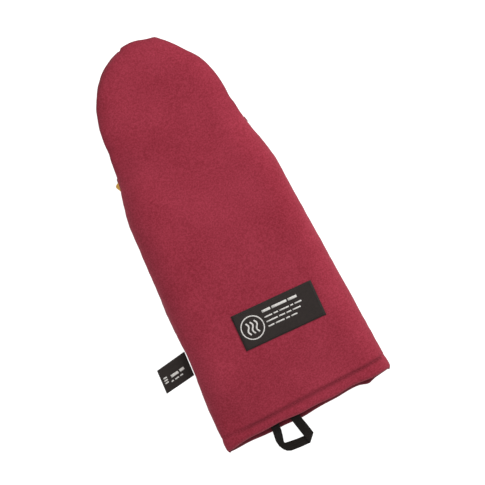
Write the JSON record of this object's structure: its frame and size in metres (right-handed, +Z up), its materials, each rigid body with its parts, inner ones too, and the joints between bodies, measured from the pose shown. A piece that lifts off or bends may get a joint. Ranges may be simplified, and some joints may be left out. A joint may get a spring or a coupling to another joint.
{
  "type": "oven mitt",
  "caption": "Long puppet-style oven mitt: red canvas cover, padded finger and thumb lobes that open at a web, turned cuff hem, hang loop and side label.",
  "frame": {"origin": "on the flat resting face under the palm, on the centreline, 145 mm from the cuff edge", "axes": "+Y from the cuff to the finger tip, +Z up out of the back of the hand, +X to the right seen from above"},
  "size_m": [0.1983, 0.4102, 0.0419],
  "materials": {
    "red_canvas": "matt woven canvas",
    "batting": "matt cotton batting",
    "barrier_film": "thin soft film",
    "cotton_liner": "matt cotton twill",
    "yellow_web_guard": "matt aramid knit",
    "red_thread": "twisted thread",
    "black_thread": "twisted thread",
    "woven_label": "woven satin label",
    "black_webbing": "woven tape"
  },
  "bodies": {
    "hand": {"back_cover": "red_canvas", "back_batting": "batting", "back_barrier": "barrier_film", "back_liner": "cotton_liner", "palm_cover": "red_canvas", "palm_batting": "batting", "palm_barrier": "barrier_film", "palm_liner": "cotton_liner", "back_hem": "red_canvas", "palm_hem": "red_canvas", "back_hem_stitch": "red_thread", "palm_hem_stitch": "red_thread", "left_side_seam": "red_thread", "right_side_seam": "red_thread", "mouth_fold": "red_canvas", "web_guard_fold": "yellow_web_guard", "label_patch": "woven_label", "label_stitch": "black_thread", "hang_loop_left_tail": "black_webbing", "hang_loop_right_tail": "black_webbing", "hang_loop_left_bartack": "black_thread", "hang_loop_right_bartack": "black_thread"},
    "finger_lobe": {"finger_cover": "red_canvas", "finger_batting": "batting", "finger_barrier": "barrier_film", "finger_liner": "cotton_liner", "finger_mouth_cover": "red_canvas", "finger_mouth_batting": "batting", "finger_mouth_liner": "cotton_liner", "finger_seam": "red_thread", "web_guard_upper": "yellow_web_guard"},
    "thumb_lobe": {"thumb_cover": "red_canvas", "thumb_batting": "batting", "thumb_barrier": "barrier_film", "thumb_liner": "cotton_liner", "thumb_mouth_cover": "red_canvas", "thumb_mouth_batting": "batting", "thumb_mouth_liner": "cotton_liner", "thumb_seam": "red_thread", "web_guard_lower": "yellow_web_guard"},
    "hang_loop": {"hang_loop": "black_webbing"},
    "flag_label": {"side_flag_label": "woven_label"}
  },
  "joints": [
    {"name": "finger_lobe_hinge", "type": "hinge", "parent": "hand", "child": "finger_lobe", "pos_m": [0, 0.122, 0.02], "axis": [1, 0, 0], "range_deg": [0, 50]},
    {"name": "thumb_lobe_hinge", "type": "hinge", "parent": "hand", "child": "thumb_lobe", "pos_m": [0, 0.122, 0.02], "axis": [1, 0, 0], "range_deg": [-40, 0]},
    {"name": "hang_loop_swing", "type": "hinge", "parent": "hand", "child": "hang_loop", "pos_m": [0, -0.146, 0.0109], "axis": [-1, 0, 0], "range_deg": [0, 100]},
    {"name": "flag_label_flex", "type": "hinge", "parent": "hand", "child": "flag_label", "pos_m": [-0.08104, -0.0564, 0.02], "axis": [0.0558, 0.9984, 0], "range_deg": [-60, 60], "stiffness_Nm_per_rad": 0.002}
  ]
}
